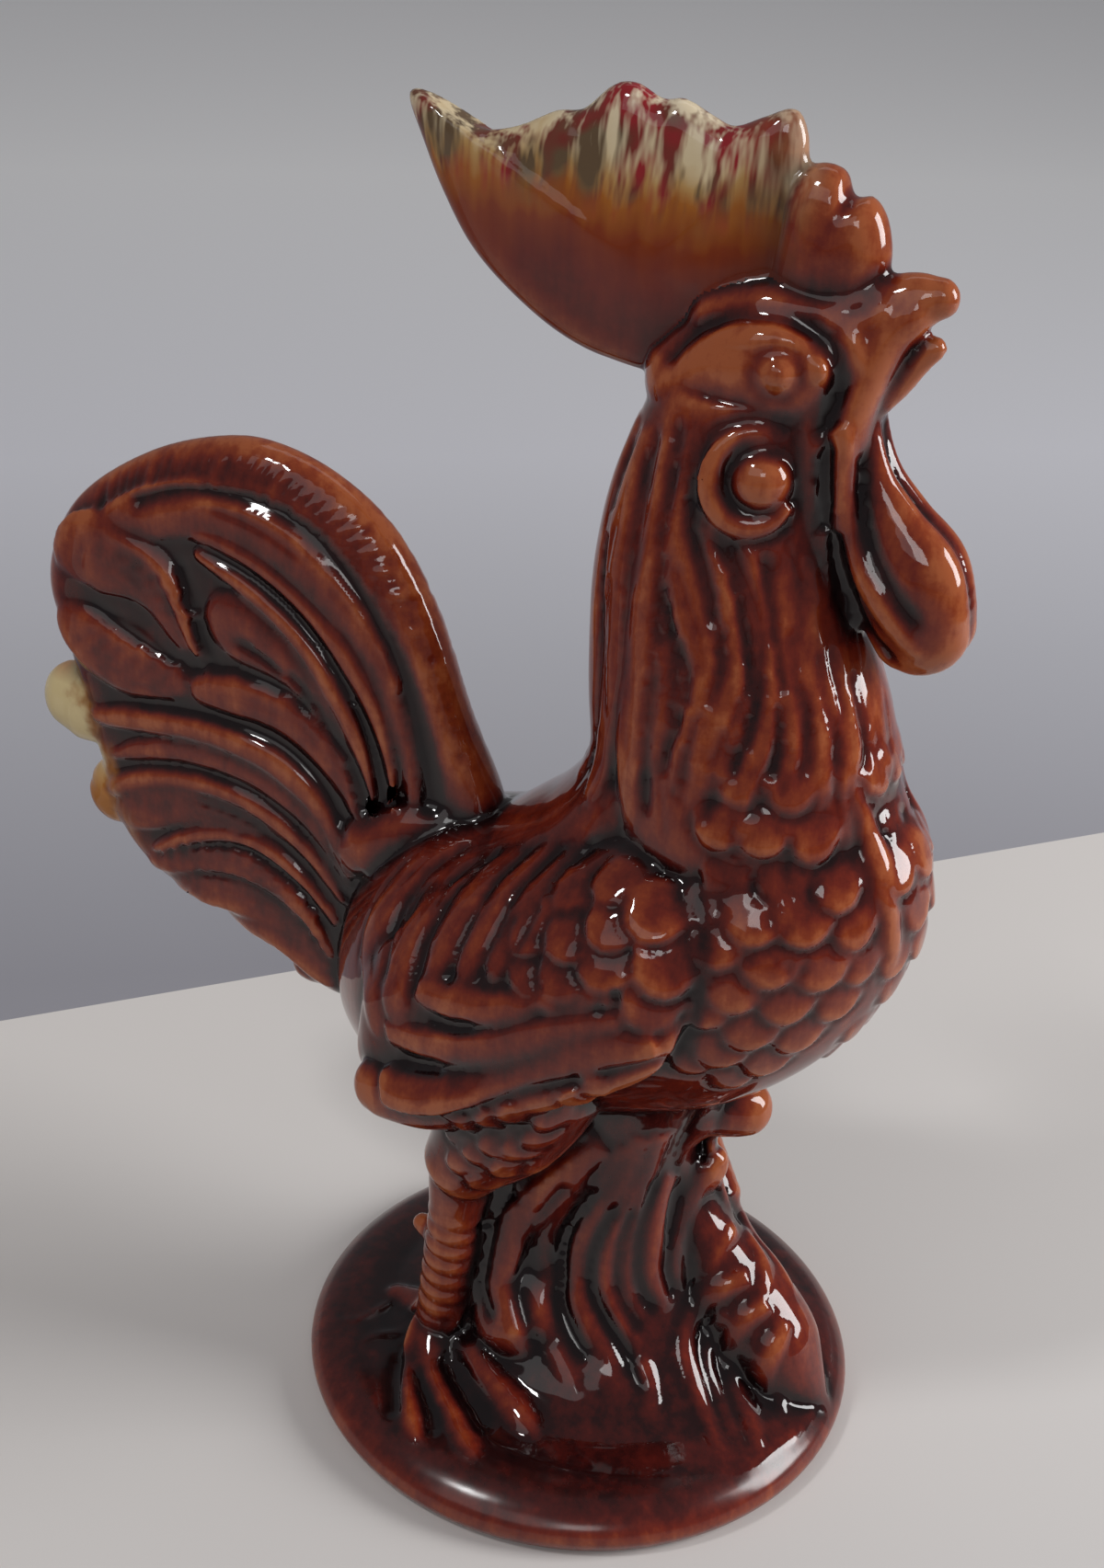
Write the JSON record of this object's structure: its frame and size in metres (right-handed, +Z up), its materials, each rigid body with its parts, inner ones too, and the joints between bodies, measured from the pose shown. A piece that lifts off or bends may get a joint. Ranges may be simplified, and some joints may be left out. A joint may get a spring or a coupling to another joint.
{
  "type": "ceramic rooster figurine",
  "caption": "Standing crowing rooster in treacle-glazed earthenware with a tall comb, sickle tail and grass tuft on a round plinth, an ornament for a shelf.",
  "frame": {"origin": "middle of the plinth's flat underside", "axes": "+X forward to the beak, +Y to the bird's left, +Z up"},
  "size_m": [0.1958, 0.12, 0.2765],
  "materials": {
    "treacle_glaze": "gloss red-brown treacle glaze over earthenware",
    "amber_glaze": "gloss amber-brown glaze over earthenware",
    "dark_glaze": "gloss dark brown glaze, pooled thick, over earthenware",
    "comb_glaze": "gloss cream glaze with red and grey drips, running to brown"
  },
  "bodies": {
    "root": {"plinth": "dark_glaze", "grass_tuft": "dark_glaze", "right_leg": "treacle_glaze", "left_leg": "treacle_glaze", "right_foot": "amber_glaze", "left_foot": "amber_glaze", "body": "treacle_glaze", "right_wing": "treacle_glaze", "left_wing": "treacle_glaze", "tail_fan": "treacle_glaze", "right_tail_feathers": "amber_glaze", "left_tail_feathers": "amber_glaze", "neck": "amber_glaze", "head": "treacle_glaze", "right_eye": "dark_glaze", "left_eye": "dark_glaze", "right_ear_lobe": "amber_glaze", "left_ear_lobe": "amber_glaze", "upper_beak": "amber_glaze", "lower_beak": "amber_glaze", "comb": "comb_glaze", "right_wattle": "treacle_glaze", "left_wattle": "treacle_glaze"}
  },
  "joints": []
}
